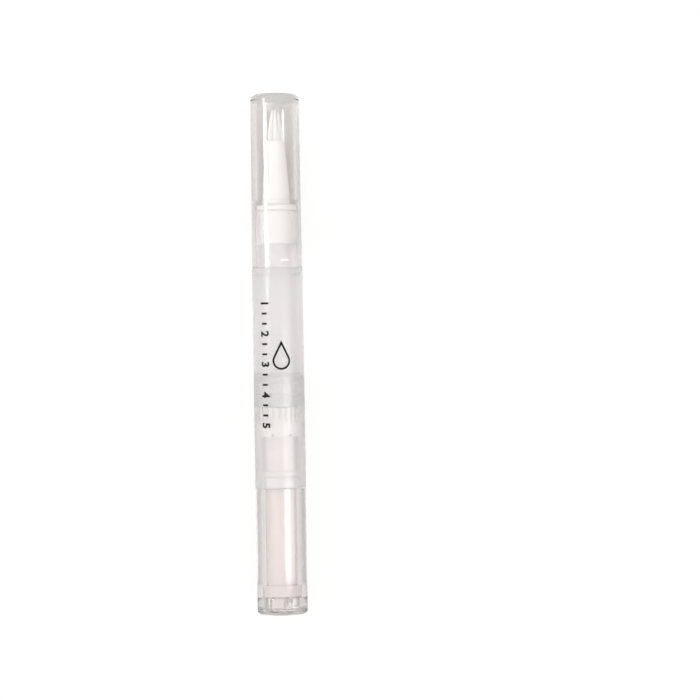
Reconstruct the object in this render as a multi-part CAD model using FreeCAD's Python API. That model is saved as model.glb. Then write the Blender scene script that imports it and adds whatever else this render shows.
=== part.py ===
import FreeCAD, Part
import math
import os
from FreeCAD import Vector

# A twist-to-feed nail oil pen, in millimetres.
# Each piece is turned about the pen's axis, with stations measured from the knob's end towards the cap.
# The finished pen lies on its side: its axis runs along +Y, its cap points to +Y, and +Z is up.

# Outside of the pen
barrel_diameter = 13.1
barrel_length = 56.4
knob_length = 32.25
knob_inset = 0.05
neck_length = 14.6
twist_gap = 0.15

# Cap
cap_inset = 0.11
cap_taper = 0.16
cap_mouth_wall = 0.72
cap_upper_wall = 1.43
cap_neck_clearance = 0.14
cap_collar_room = 1.2
cap_end_wall = 2.5
cap_tip_room = 1.3
cap_seat_gap = 0.1
cap_end_radius = 1.5
cap_cavity_radius = 0.3
cap_lip_chamfer = 0.15

# Snap bead on the neck and its groove in the cap
bead_height = 2.7
bead_width = 0.9
bead_rise = 0.08
snap_groove_depth = 0.08

# Barrel
reservoir_wall = 1.3
mechanism_wall = 1.0
mechanism_depth = 20.6
neck_wall = 1.08
shoulder_wall = 1.2
shoulder_radius = 0.25
foot_chamfer = 0.15
neck_chamfer = 0.3

# Splines that hold the nut insert still in the barrel
spline_count = 24
spline_length = 3.0
spline_width = 0.55
spline_clearance = 0.08
spline_bite = 0.2

# Nozzle
plug_length = 8.5
plug_clearance = 0.04
plug_chamfer = 0.4
seal_bead_width = 0.8
seal_bead_bite = 0.02
seal_bead_spacing = 2.6
seal_bead_count = 2
collar_inset = 0.48
collar_height = 1.6
collar_chamfer = 0.35
collar_edge_radius = 0.3
cone_base_inset = 1.4
cone_top_diameter = 4.7
cone_length = 16.5
cone_root_radius = 0.4
plug_wall = 1.16
root_ledge = 0.48
plug_bore_rise = 1.0
root_seat_drop = 9.1

# Bristle tuft and feed tube
tuft_length = 8.2
tuft_tip_diameter = 2.9
tuft_tip_radius = 0.9
tuft_clearance = 0.04
tuft_wall = 0.38
tuft_root_thickness = 1.0
feed_tube_diameter = 1.2
feed_tube_bore = 0.6
feed_tube_clearance = 0.06
feed_tube_reach = 2.0
feed_flange_thickness = 1.45
feed_flange_gap = 0.05

# Lead screw
screw_diameter = 4.4
thread_depth = 0.45
thread_pitch = 2.0
thread_crest = 0.55
thread_root = 1.1
thread_clearance = 0.15
thread_bite = 0.1
screw_flat_depth = 0.7
screw_tail = 6.5
screw_tail_chamfer = 0.3
button_lip = 0.5
button_height = 1.4
button_chamfer = 0.4
button_neck_inset = 0.6
button_neck_length = 1.6

# Nut insert
insert_fit = 0.05
skirt_length = 4.4
skirt_clearance = 0.15
boss_wall = 0.85
boss_height = 1.5
ratchet_teeth = 12
ratchet_clearance = 0.12
ratchet_depth = 0.4
skirt_notches = 8
skirt_notch_width = 0.9
skirt_notch_height = 0.7
skirt_notch_turn = 29.0

# Piston
piston_rest_gap = 0.4
piston_skirt_gap = 0.2
piston_height = 6.6
piston_clearance = 0.05
piston_waist_depth = 0.35
piston_lip_height = 1.3
piston_nose_clearance = 0.15
piston_lip_wall = 0.7
piston_hub_wall = 1.2
piston_groove_depth = 2.6
socket_clearance = 0.15

# Drive core
core_step = 0.65
core_key_clearance = 0.14
core_flange_clearance = 0.35
core_flange_height = 3.0
core_collar_clearance = 0.95
core_collar_thickness = 1.2
core_skirt_entry = 1.0
core_top_gap = 0.35
core_root_radius = 0.35
spigot_wall = 0.71
spigot_flat_depth = 0.35

# Dogs that lock the drive core to the end plug
dog_count = 4
dog_turn = -12.5
core_dog_angle = 36.0
plug_dog_angle = 42.0
dog_inset = 0.36
dog_side_gap = 0.23
dog_end_gap = 0.2
dog_relief_depth = 0.8
dog_relief_height = 0.48

# Click ring
click_fit = 0.03
click_wall = 0.35
click_arm_gap = 0.22
click_arm_thickness = 0.3
click_arm_angle = 120.0
click_root_angle = 28.0
click_nose_angle = 14.0
click_nose_rise = 0.18
click_height = 2.3
click_arms = 2

# Retaining bush
bush_length = 2.7
bush_running_clearance = 0.1
bush_fit = 0.03
bush_slit = 1.2
bush_play = 0.15

# Knob sleeve
sleeve_core_gap = 0.35
sleeve_socket_wall = 1.3
sleeve_socket_depth = 6.05
sleeve_top_radius = 0.2

# End plug
end_disc_thickness = 1.5
end_disc_inset = 0.02
end_edge_radius = 0.6
end_spigot_height = 2.75
end_spigot_wall = 0.45
end_spigot_fit = 0.02
gate_diameter = 1.9
gate_depth = 0.45

# Flat faces of pieces that seat on each other keep this gap
seat_gap = 0.02

# Cutting tools run past what they cut by this much
overrun = 1.0

full_turn = 360.0
half_turn = 180.0
axis_point = Vector(0, 0, 0)
axis_direction = Vector(0, 0, 1)

# Stations along the pen, from the knob's end
knob_top = knob_length
foot = knob_top + twist_gap
shoulder = foot + barrel_length
neck_top = shoulder + neck_length
insert_seat = foot + mechanism_depth
web_under = insert_seat - spline_length
skirt_foot = web_under - skirt_length
boss_top = insert_seat + boss_height
piston_foot = boss_top + piston_rest_gap
piston_skirt_foot = insert_seat + piston_skirt_gap
piston_top = piston_foot + piston_height
plug_foot = neck_top - plug_length
collar_top = neck_top + collar_height
cone_top = collar_top + cone_length
tuft_tip = cone_top + tuft_length
root_seat = cone_top - root_seat_drop
cap_mouth = shoulder + cap_seat_gap
cap_cavity_end = tuft_tip + cap_tip_room
cap_top = cap_cavity_end + cap_end_wall
pen_length = cap_top

bush_top = foot + bush_length

# Radii of the shells, from the outside in
barrel_radius = barrel_diameter / 2
knob_radius = barrel_radius - knob_inset
sleeve_socket_radius = knob_radius - sleeve_socket_wall
cap_mouth_radius = barrel_radius - cap_inset
cap_top_radius = cap_mouth_radius - cap_taper
cap_fit_radius = cap_mouth_radius - cap_mouth_wall
neck_radius = cap_fit_radius - cap_neck_clearance
neck_bore_radius = neck_radius - neck_wall
reservoir_radius = barrel_radius - reservoir_wall
mechanism_radius = barrel_radius - mechanism_wall

# Radii of the brush and the mechanism, from the inside out
cone_top_radius = cone_top_diameter / 2
tuft_pocket_radius = cone_top_radius - tuft_wall
feed_bore_radius = tuft_pocket_radius + root_ledge
screw_radius = screw_diameter / 2
thread_minor_radius = screw_radius - thread_depth
thread_slope = (thread_root - thread_crest) / 2 / thread_depth
screw_flat_width = 2 * (screw_radius - screw_flat_depth)
button_neck_radius = thread_minor_radius - button_neck_inset
button_radius = button_neck_radius + button_lip
keyway_radius = screw_radius + core_key_clearance
spigot_radius = keyway_radius + spigot_wall
spigot_flat_width = 2 * (spigot_radius - spigot_flat_depth)
core_radius = spigot_radius + core_step
click_hub_inner = spigot_radius + click_fit
click_hub_outer = click_hub_inner + click_wall
click_arm_inner = click_hub_outer + click_arm_gap
click_arm_outer = click_arm_inner + click_arm_thickness
click_nose_radius = click_arm_outer + click_nose_rise
ratchet_tip_radius = click_nose_radius + ratchet_clearance
ratchet_root_radius = ratchet_tip_radius + ratchet_depth

# The dogs stand between the keyway and the end plug's spigot
end_spigot_outer = sleeve_socket_radius - end_spigot_fit
end_spigot_inner = end_spigot_outer - end_spigot_wall
dog_inner_radius = keyway_radius + dog_inset
dog_outer_radius = end_spigot_inner - dog_side_gap


def turned(outline):
    """Spins a closed outline of (radius, station) corners about the pen's axis."""
    corners = [Vector(radius, 0, station) for radius, station in outline]
    section = Part.Face(Part.makePolygon(corners + corners[:1]))
    return section.revolve(axis_point, axis_direction, full_turn)


def rod(radius, low, high):
    """A round bar on the axis between two stations."""
    return Part.makeCylinder(radius, high - low, Vector(0, 0, low))


def slab(width, span, low, high):
    """A block centred on the axis, with its width along X and its span along Y."""
    return Part.makeBox(width, span, high - low, Vector(-width / 2, -span / 2, low))


def sector(inner, outer, low, high, angle, middle):
    """A piece of a ring that covers an angle, centred on the direction given in degrees."""
    corners = [
        Vector(inner, 0, low),
        Vector(outer, 0, low),
        Vector(outer, 0, high),
        Vector(inner, 0, high),
    ]
    section = Part.Face(Part.makePolygon(corners + corners[:1]))
    section.rotate(axis_point, axis_direction, middle - angle / 2)
    return section.revolve(axis_point, axis_direction, angle)


def repeated(shape, count):
    """Copies of a shape, spread evenly around the axis."""
    copies = []
    for number in range(count):
        copy = shape.copy()
        copy.rotate(axis_point, axis_direction, number * full_turn / count)
        copies.append(copy)
    return copies


def rims(shape, radius, station):
    """The round edges of a turned shape at one radius and station."""
    found = []
    for edge in shape.Edges:
        curve = edge.Curve
        if curve.TypeId != "Part::GeomCircle":
            continue
        same_radius = math.isclose(curve.Radius, radius, rel_tol=1e-6)
        same_station = math.isclose(curve.Center.z, station, rel_tol=1e-6, abs_tol=1e-6)
        if same_radius and same_station:
            found.append(edge)
    return found


def double_flat(radius, flat_width, low, high):
    """A round bar with two flats, as a keyed shaft has."""
    return rod(radius, low, high).common(slab(flat_width, 2 * radius + overrun, low, high))


def helical_ridge(inner, outer, slack, turns):
    """A right-hand thread ridge that starts at station zero, grown by slack on its flanks."""
    growth = slack * math.hypot(1, thread_slope)
    tip_width = thread_crest + 2 * growth + 2 * thread_slope * (screw_radius - outer)
    foot_width = thread_crest + 2 * growth + 2 * thread_slope * (screw_radius - inner)
    corners = [
        Vector(inner, 0, -foot_width / 2),
        Vector(outer, 0, -tip_width / 2),
        Vector(outer, 0, tip_width / 2),
        Vector(inner, 0, foot_width / 2),
    ]
    section = Part.makePolygon(corners + corners[:1])
    path = Part.Wire(Part.makeHelix(thread_pitch, thread_pitch * turns, inner))
    return path.makePipeShell([section], True, True)


def make_cap():
    """Clear cap: a tapered cup with a wide bore over the neck and a narrower one over the brush."""
    upper_radius = cap_top_radius - cap_upper_wall
    step = collar_top + cap_collar_room
    cup = turned([
        (0, cap_top),
        (cap_top_radius, cap_top),
        (cap_mouth_radius, cap_mouth),
        (cap_fit_radius + cap_lip_chamfer, cap_mouth),
        (cap_fit_radius, cap_mouth + cap_lip_chamfer),
        (cap_fit_radius, step),
        (upper_radius, step),
        (upper_radius, cap_cavity_end),
        (0, cap_cavity_end),
    ])
    cup = cup.makeFillet(cap_end_radius, rims(cup, cap_top_radius, cap_top))
    cup = cup.makeFillet(cap_cavity_radius, rims(cup, upper_radius, cap_cavity_end))
    groove_middle = shoulder + bead_height
    groove = turned([
        (cap_fit_radius - overrun, groove_middle - bead_width),
        (cap_fit_radius, groove_middle - bead_width),
        (cap_fit_radius + snap_groove_depth, groove_middle),
        (cap_fit_radius, groove_middle + bead_width),
        (cap_fit_radius - overrun, groove_middle + bead_width),
    ])
    return cup.cut(groove)


def make_barrel():
    """Frosted barrel: grip, shoulder and neck outside; mechanism bore, reservoir and neck bore inside."""
    cone_end = shoulder - shoulder_wall
    cone_start = cone_end - (reservoir_radius - neck_bore_radius)
    bead_middle = shoulder + bead_height
    tube = turned([
        (mechanism_radius, foot),
        (barrel_radius - foot_chamfer, foot),
        (barrel_radius, foot + foot_chamfer),
        (barrel_radius, shoulder),
        (neck_radius, shoulder),
        (neck_radius, bead_middle - bead_width / 2),
        (neck_radius + bead_rise, bead_middle),
        (neck_radius, bead_middle + bead_width / 2),
        (neck_radius, neck_top - neck_chamfer),
        (neck_radius - neck_chamfer, neck_top),
        (neck_bore_radius, neck_top),
        (neck_bore_radius, cone_end),
        (reservoir_radius, cone_start),
        (reservoir_radius, insert_seat),
        (mechanism_radius, insert_seat),
    ])
    tube = tube.makeFillet(shoulder_radius, rims(tube, barrel_radius, shoulder))
    spline = Part.makeBox(
        mechanism_radius - reservoir_radius + spline_bite,
        spline_width,
        spline_length,
        Vector(reservoir_radius, -spline_width / 2, web_under),
    )
    return tube.fuse(repeated(spline, spline_count)).removeSplitter()


def make_nozzle():
    """White nozzle: a sealing plug, a collar that seats on the neck, and a long hollow cone."""
    plug_radius = neck_bore_radius - plug_clearance
    plug_bore_radius = plug_radius - plug_wall
    collar_radius = neck_radius - collar_inset
    cone_base_radius = collar_radius - cone_base_inset
    plug_bore_top = collar_top + plug_bore_rise
    body = turned([
        (plug_bore_radius, plug_foot),
        (plug_radius - plug_chamfer, plug_foot),
        (plug_radius, plug_foot + plug_chamfer),
        (plug_radius, neck_top),
        (collar_radius - collar_chamfer, neck_top),
        (collar_radius, neck_top + collar_chamfer),
        (collar_radius, collar_top),
        (cone_base_radius, collar_top),
        (cone_top_radius, cone_top),
        (tuft_pocket_radius, cone_top),
        (tuft_pocket_radius, root_seat),
        (feed_bore_radius, root_seat),
        (feed_bore_radius, plug_bore_top),
        (plug_bore_radius, plug_bore_top),
    ])
    body = body.makeFillet(collar_edge_radius, rims(body, collar_radius, collar_top))
    body = body.makeFillet(cone_root_radius, rims(body, cone_base_radius, collar_top))
    bead_radius = neck_bore_radius + seal_bead_bite
    for number in range(seal_bead_count):
        middle = neck_top - (number + 1) * seal_bead_spacing
        body = body.fuse(turned([
            (plug_radius - plug_chamfer, middle - seal_bead_width / 2),
            (plug_radius, middle - seal_bead_width / 2),
            (bead_radius, middle),
            (plug_radius, middle + seal_bead_width / 2),
            (plug_radius - plug_chamfer, middle + seal_bead_width / 2),
        ]))
    return body.removeSplitter()


def make_bristle_tuft():
    """Bristle tuft: bonded root disc, round shank in the cone, tapering to a soft domed tip."""
    shank_radius = tuft_pocket_radius - tuft_clearance
    root_radius = feed_bore_radius - tuft_clearance
    hole_radius = feed_tube_diameter / 2 + feed_tube_clearance
    tip_radius = tuft_tip_diameter / 2
    hole_top = cone_top + feed_tube_reach + feed_tube_clearance
    tuft = turned([
        (hole_radius, root_seat - tuft_root_thickness),
        (root_radius, root_seat - tuft_root_thickness),
        (root_radius, root_seat),
        (shank_radius, root_seat),
        (shank_radius, cone_top),
        (tip_radius, tuft_tip),
        (0, tuft_tip),
        (0, hole_top),
        (hole_radius, hole_top),
    ])
    return tuft.makeFillet(tuft_tip_radius, rims(tuft, tip_radius, tuft_tip))


def make_feed_tube():
    """Feed tube: a fine tube into the bristles, on a flange that clamps their root."""
    tube_radius = feed_tube_diameter / 2
    bore_radius = feed_tube_bore / 2
    flange_radius = feed_bore_radius - tuft_clearance
    flange_top = root_seat - tuft_root_thickness - feed_flange_gap
    return turned([
        (bore_radius, flange_top - feed_flange_thickness),
        (flange_radius, flange_top - feed_flange_thickness),
        (flange_radius, flange_top),
        (tube_radius, flange_top),
        (tube_radius, cone_top + feed_tube_reach),
        (bore_radius, cone_top + feed_tube_reach),
    ])


def make_screw_rod():
    """Lead screw: a keyed core, thread ridges on its two round sides, and a button for the piston."""
    neck_foot = boss_top + piston_rest_gap / 2
    button_foot = neck_foot + button_neck_length
    button_top = button_foot + button_height
    shaft = turned([
        (0, screw_tail),
        (thread_minor_radius - screw_tail_chamfer, screw_tail),
        (thread_minor_radius, screw_tail + screw_tail_chamfer),
        (thread_minor_radius, neck_foot),
        (0, neck_foot),
    ])
    shaft = shaft.common(slab(screw_flat_width, 2 * screw_diameter, screw_tail, neck_foot))
    half_ridge = helical_ridge(thread_minor_radius - thread_bite, screw_radius, 0, half_turn / full_turn)
    half_ridge = half_ridge.common(
        slab(screw_flat_width, 2 * screw_diameter, -thread_pitch, 2 * thread_pitch)
    )
    half_pitch = thread_pitch / 2
    ridges = []
    first = screw_tail + screw_tail_chamfer + thread_root / 2
    for number in range(math.floor((neck_foot - thread_root - first) / half_pitch)):
        ridge = half_ridge.copy()
        ridge.rotate(axis_point, axis_direction, number * half_turn)
        ridge.translate(Vector(0, 0, first + number * half_pitch))
        ridges.append(ridge)
    button = turned([
        (0, neck_foot - thread_bite),
        (button_neck_radius, neck_foot - thread_bite),
        (button_neck_radius, button_foot),
        (button_radius, button_foot),
        (button_radius, button_top - button_chamfer),
        (button_radius - button_chamfer, button_top),
        (0, button_top),
    ])
    return shaft.fuse(ridges + [button]).removeSplitter()


def make_nut_insert():
    """Fixed nut: splined web with the internal thread, a boss above, a skirt of ratchet teeth below."""
    web_radius = mechanism_radius - insert_fit
    skirt_radius = mechanism_radius - skirt_clearance
    boss_radius = screw_radius + thread_clearance + boss_wall
    body = turned([
        (0, skirt_foot),
        (skirt_radius, skirt_foot),
        (skirt_radius, web_under),
        (web_radius, web_under),
        (web_radius, insert_seat),
        (boss_radius, insert_seat),
        (boss_radius, boss_top),
        (0, boss_top),
    ])
    notch_inner = reservoir_radius - spline_clearance
    notch_width = spline_width + 2 * spline_clearance
    notch = Part.makeBox(
        web_radius - notch_inner + overrun,
        notch_width,
        spline_length + overrun,
        Vector(notch_inner, -notch_width / 2, web_under - overrun),
    )
    body = body.cut(repeated(notch, spline_count))
    tooth_angle = 2 * math.pi / ratchet_teeth
    corners = []
    for number in range(ratchet_teeth):
        step = number * tooth_angle
        across = math.cos(step)
        along = math.sin(step)
        for radius in (ratchet_tip_radius, ratchet_root_radius):
            corners.append(Vector(radius * across, radius * along, skirt_foot - overrun))
    teeth = Part.Face(Part.makePolygon(corners + corners[:1]))
    body = body.cut(teeth.extrude(Vector(0, 0, web_under - skirt_foot + overrun)))
    foot_notch = Part.makeBox(
        skirt_radius,
        skirt_notch_width,
        skirt_notch_height + overrun,
        Vector(ratchet_tip_radius - overrun, -skirt_notch_width / 2, skirt_foot - overrun),
    )
    foot_notch.rotate(axis_point, axis_direction, skirt_notch_turn)
    body = body.cut(repeated(foot_notch, skirt_notches))
    bore_radius = thread_minor_radius + thread_clearance
    groove_turns = math.ceil((boss_top - web_under) / thread_pitch) + 2
    groove = helical_ridge(
        thread_minor_radius,
        screw_radius + thread_clearance,
        thread_clearance,
        groove_turns,
    )
    first = screw_tail + screw_tail_chamfer + thread_root / 2
    groove_foot = first + thread_pitch * (math.floor((web_under - first) / thread_pitch) - 1)
    groove.translate(Vector(0, 0, groove_foot))
    groove_end = groove_foot + thread_pitch * groove_turns
    tap = rod(bore_radius, groove_foot - thread_pitch, groove_end + thread_pitch).fuse(groove)
    return body.cut(tap)


def make_piston():
    """Soft piston: two sealing lips, a skirt round the nut's boss, a nose cone, a snap socket below."""
    lip_radius = reservoir_radius - piston_clearance
    waist_radius = lip_radius - piston_waist_depth
    top_radius = neck_bore_radius - piston_nose_clearance
    cone_foot = piston_top - (lip_radius - top_radius)
    mouth_radius = button_neck_radius + socket_clearance
    socket_radius = button_radius + socket_clearance
    hub_radius = socket_radius + piston_hub_wall
    button_foot = boss_top + piston_rest_gap / 2 + button_neck_length
    socket_low = button_foot - socket_clearance
    socket_high = button_foot + button_height + socket_clearance
    body = turned([
        (0, piston_skirt_foot),
        (lip_radius, piston_skirt_foot),
        (lip_radius, piston_foot + piston_lip_height),
        (waist_radius, piston_foot + piston_lip_height + piston_waist_depth),
        (waist_radius, cone_foot - piston_lip_height - piston_waist_depth),
        (lip_radius, cone_foot - piston_lip_height),
        (lip_radius, cone_foot),
        (top_radius, piston_top),
        (0, piston_top),
    ])
    groove = rod(lip_radius - piston_lip_wall, piston_skirt_foot - overrun, piston_foot + piston_groove_depth)
    groove = groove.cut(rod(hub_radius, piston_foot, piston_top))
    mouth = rod(mouth_radius, piston_foot - overrun, socket_low + socket_clearance)
    socket = rod(socket_radius, socket_low, socket_high)
    return body.cut([groove, mouth, socket])


def make_drive_core():
    """Drive core: keyed tube that turns the screw, with flange, thrust collar, spigot and end dogs."""
    flange_top = end_disc_thickness + sleeve_socket_depth - seat_gap
    flange_foot = flange_top - core_flange_height
    flange_radius = sleeve_socket_radius - core_flange_clearance
    collar_radius = mechanism_radius - core_collar_clearance
    collar_foot = bush_top + bush_play
    collar_top_face = collar_foot + core_collar_thickness
    tube_top = skirt_foot + core_skirt_entry
    spigot_top = web_under - core_top_gap
    body = turned([
        (0, flange_foot),
        (flange_radius, flange_foot),
        (flange_radius, flange_top),
        (core_radius, flange_top),
        (core_radius, collar_foot),
        (collar_radius, collar_foot),
        (collar_radius, collar_top_face),
        (core_radius, collar_top_face),
        (core_radius, tube_top),
        (0, tube_top),
    ])
    body = body.makeFillet(core_root_radius, rims(body, core_radius, collar_top_face))
    body = body.fuse(double_flat(spigot_radius, spigot_flat_width, tube_top, spigot_top))
    dog = sector(
        dog_inner_radius,
        dog_outer_radius,
        end_disc_thickness + dog_end_gap,
        flange_foot,
        core_dog_angle,
        dog_turn,
    )
    relief = rod(dog_outer_radius + overrun, flange_foot - dog_relief_height, flange_foot)
    dog = dog.cut(relief.cut(rod(dog_outer_radius - dog_relief_depth, 0, flange_top)))
    body = body.fuse(repeated(dog, dog_count))
    keyway = double_flat(
        keyway_radius,
        screw_flat_width + 2 * core_key_clearance,
        flange_foot - overrun,
        spigot_top + overrun,
    )
    return body.cut(keyway).removeSplitter()


def make_click_ring():
    """Click ring: a keyed hub with two springy arms whose noses ride the ratchet teeth."""
    low = skirt_foot + core_skirt_entry + seat_gap
    high = low + click_height
    keyway_width = spigot_flat_width + 2 * click_fit
    hub = rod(click_hub_outer, low, high)
    hub = hub.cut(double_flat(click_hub_inner, keyway_width, low - overrun, high + overrun))
    arm = sector(click_arm_inner, click_arm_outer, low, high, click_arm_angle, click_arm_angle / 2)
    root = sector(
        click_hub_outer - click_fit, click_arm_outer, low, high, click_root_angle, click_root_angle / 2
    )
    nose_middle = click_arm_angle - click_nose_angle / 2
    nose = sector(
        click_arm_outer - click_fit, click_nose_radius, low, high, click_nose_angle, nose_middle
    )
    return hub.fuse(repeated(arm.fuse([root, nose]), click_arms)).removeSplitter()


def make_retaining_bush():
    """Split bush pressed into the barrel's foot: it holds the drive core's collar inside."""
    outer = mechanism_radius - bush_fit
    bush = rod(outer, foot, bush_top).cut(
        rod(core_radius + bush_running_clearance, foot - overrun, bush_top + overrun)
    )
    slit = Part.makeBox(
        bush_slit, outer + overrun, bush_length + 2 * overrun, Vector(-bush_slit / 2, 0, foot - overrun)
    )
    return bush.cut(slit)


def make_knob_sleeve():
    """Clear knob sleeve: a thick tube with a wider socket at its end for the core's flange."""
    bore_radius = core_radius + sleeve_core_gap
    socket_end = end_disc_thickness + sleeve_socket_depth
    sleeve = turned([
        (sleeve_socket_radius, end_disc_thickness),
        (knob_radius, end_disc_thickness),
        (knob_radius, knob_top),
        (bore_radius, knob_top),
        (bore_radius, socket_end),
        (sleeve_socket_radius, socket_end),
    ])
    return sleeve.makeFillet(sleeve_top_radius, rims(sleeve, knob_radius, knob_top))


def make_end_plug():
    """Clear end plug: a disc with a gate mark, a spigot in the sleeve, and dogs that turn the core."""
    outer = knob_radius - end_disc_inset
    spigot_top = end_disc_thickness + end_spigot_height
    disc = rod(outer, 0, end_disc_thickness)
    disc = disc.makeFillet(end_edge_radius, rims(disc, outer, 0))
    disc = disc.cut(rod(gate_diameter / 2, -overrun, gate_depth))
    ring = rod(end_spigot_outer, end_disc_thickness, spigot_top).cut(
        rod(end_spigot_inner, end_disc_thickness, spigot_top)
    )
    dog = sector(
        dog_inner_radius,
        end_spigot_outer - end_spigot_wall / 2,
        end_disc_thickness,
        spigot_top,
        plug_dog_angle,
        dog_turn + half_turn / dog_count,
    )
    return disc.fuse([ring] + repeated(dog, dog_count)).removeSplitter()


def lay_down(shape):
    """Turns a piece from the upright working axis to the pen's lying place on the floor."""
    laid = shape.copy()
    laid.rotate(axis_point, Vector(1, 0, 0), -half_turn / 2)
    laid.translate(Vector(0, -pen_length / 2, barrel_radius))
    return laid


pieces = {
    "cap": make_cap,
    "bristle_tuft": make_bristle_tuft,
    "feed_tube": make_feed_tube,
    "nozzle": make_nozzle,
    "barrel": make_barrel,
    "piston": make_piston,
    "screw_rod": make_screw_rod,
    "nut_insert": make_nut_insert,
    "click_ring": make_click_ring,
    "drive_core": make_drive_core,
    "retaining_bush": make_retaining_bush,
    "knob_sleeve": make_knob_sleeve,
    "end_plug": make_end_plug,
}

os.makedirs("parts", exist_ok=True)
for name, make in pieces.items():
    lay_down(make()).exportStep("parts/" + name + ".step")
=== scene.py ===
import math
import random

import bmesh
import bpy
from mathutils import Matrix, Vector


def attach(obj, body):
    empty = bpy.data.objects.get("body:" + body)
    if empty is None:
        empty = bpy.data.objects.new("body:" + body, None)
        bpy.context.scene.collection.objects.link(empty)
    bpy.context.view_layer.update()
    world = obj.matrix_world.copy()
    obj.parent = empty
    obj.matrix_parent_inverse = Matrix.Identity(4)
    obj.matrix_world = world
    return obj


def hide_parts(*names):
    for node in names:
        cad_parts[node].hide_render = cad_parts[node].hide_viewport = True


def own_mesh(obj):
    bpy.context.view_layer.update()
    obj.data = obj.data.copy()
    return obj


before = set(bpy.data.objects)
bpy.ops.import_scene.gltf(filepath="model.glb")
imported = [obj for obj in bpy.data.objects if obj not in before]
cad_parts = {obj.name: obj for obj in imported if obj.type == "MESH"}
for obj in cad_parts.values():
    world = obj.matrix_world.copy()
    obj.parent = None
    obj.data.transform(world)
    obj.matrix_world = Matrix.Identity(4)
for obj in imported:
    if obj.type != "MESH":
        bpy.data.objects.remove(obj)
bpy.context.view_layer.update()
scene = bpy.context.scene

# Barrel: one injection moulding of natural polypropylene, frosted outside by spark texture in the mould.
# It has a plain grip, a neck with a snap bead for the cap, and 24 splines inside that hold the nut still.
# Radii and stations are in millimetres; stations run along the pen from the knob's end to the cap's end.
MM = 0.001
AXIS_HEIGHT = 6.55
MIDDLE_STATION = 66.75
BARREL_RADIUS = 6.535  # 0.015 under size, which leaves room for the ink
BARREL_FOOT = 32.4
BARREL_TOP = 88.8
FOOT_BORE_RADIUS = 5.55
RESERVOIR_RADIUS = 5.25
RESERVOIR_FOOT = 53.0
RESERVOIR_TOP = 86.85
NECK_RADIUS = 5.58
NECK_TOP = 103.4
NECK_BORE_RADIUS = 4.5
NECK_BORE_FOOT = 87.6
SPLINES = 24
SPLINE_BAND = (50.0, 52.9)
STEPS_PER_SPLINE = 10
STEPS_PER_SPLINE_TIP = 4
TURN_STEPS = 144
ROUNDING_STEPS = 4
WELD_GAP = 0.0005
CRISP_ANGLE = 40.0


def at(radius, station, turn=90.0):
    """The point of the pen at a radius, a station and a turn in degrees from its top towards +X."""
    angle = math.radians(turn)
    across = radius * math.sin(angle)
    up = AXIS_HEIGHT + radius * math.cos(angle)
    return Vector((across, station - MIDDLE_STATION, up)) * MM


def place(point):
    """Radius, station and turn in degrees of a point of the pen."""
    across = point.x / MM
    up = point.z / MM - AXIS_HEIGHT
    turn = math.degrees(math.atan2(across, up))
    return math.hypot(across, up), point.y / MM + MIDDLE_STATION, turn


def turned(outline, steps=TURN_STEPS):
    """Spins an outline of (radius, station, rounding) corners about the pen's axis."""
    shape = bmesh.new()
    corners = [shape.verts.new(at(radius, station)) for radius, station, _ in outline]
    on_axis = outline[0][0] == 0
    ends = corners[1:] if on_axis else corners[1:] + corners[:1]
    for start, end in zip(corners, ends):
        shape.edges.new((start, end))
    for corner, (_, _, rounding) in zip(corners, outline):
        if rounding:
            bmesh.ops.bevel(
                shape, geom=[corner], offset=rounding * MM, affect="VERTICES",
                segments=ROUNDING_STEPS, profile=0.5, material=-1,
            )
    bmesh.ops.spin(
        shape, geom=shape.verts[:] + shape.edges[:], cent=at(0, MIDDLE_STATION), axis=(0, 1, 0),
        angle=math.tau, steps=steps, use_merge=True,
    )
    bmesh.ops.remove_doubles(shape, verts=shape.verts[:], dist=WELD_GAP * MM)
    bmesh.ops.recalc_face_normals(shape, faces=shape.faces[:])
    return shape


def raised(shape, faces):
    """Extrudes faces and gives the corners of the new ones."""
    grown = bmesh.ops.extrude_face_region(shape, geom=faces)["geom"]
    return [part for part in grown if isinstance(part, bmesh.types.BMVert)]


def piece(name, shape, material, body):
    """Makes the object of a finished shape, smooth but crisp at its corners, that rides on a body."""
    mesh = bpy.data.meshes.new(name)
    shape.to_mesh(mesh)
    shape.free()
    mesh.shade_smooth()
    mesh.set_sharp_from_angle(angle=math.radians(CRISP_ANGLE))
    mesh.materials.append(material)
    made = bpy.data.objects.new(name, mesh)
    scene.collection.objects.link(made)
    made.modifiers.new("even shading", "WEIGHTED_NORMAL").keep_sharp = True
    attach(made, body)
    return made


def tone(hex_colour):
    """An sRGB hex colour as linear red, green, blue and alpha."""
    linear = []
    for start in (1, 3, 5):
        part = int(hex_colour[start:start + 2], 16) / 255
        linear.append(part / 12.92 if part <= 0.04045 else ((part + 0.055) / 1.055) ** 2.4)
    return (*linear, 1.0)


def finish(name):
    """A new material with an empty tree."""
    made = bpy.data.materials.new(name)
    made.use_nodes = True
    made.node_tree.nodes.clear()
    return made


def node(owner, kind, inputs, **settings):
    """Adds a node to a material or world: settings are its own, inputs are values or links by socket."""
    made = owner.node_tree.nodes.new("ShaderNode" + kind)
    for name, value in settings.items():
        setattr(made, name, value)
    for socket, value in inputs.items():
        if isinstance(value, bpy.types.NodeSocket):
            owner.node_tree.links.new(value, made.inputs[socket])
        else:
            made.inputs[socket].default_value = value
    return made


def pass_lamplight(material, skin, tint):
    """Ends a see-through material: most of each lamp's light passes it, so that what is inside stays lit."""
    passed = node(material, "BsdfTransparent", {"Color": tone(tint)})
    lamp_ray = node(material, "LightPath", {}).outputs["Is Shadow Ray"]
    both = node(material, "MixShader", {0: lamp_ray, 1: skin.outputs[0], 2: passed.outputs[0]})
    node(material, "OutputMaterial", {"Surface": both.outputs[0]})


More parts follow.
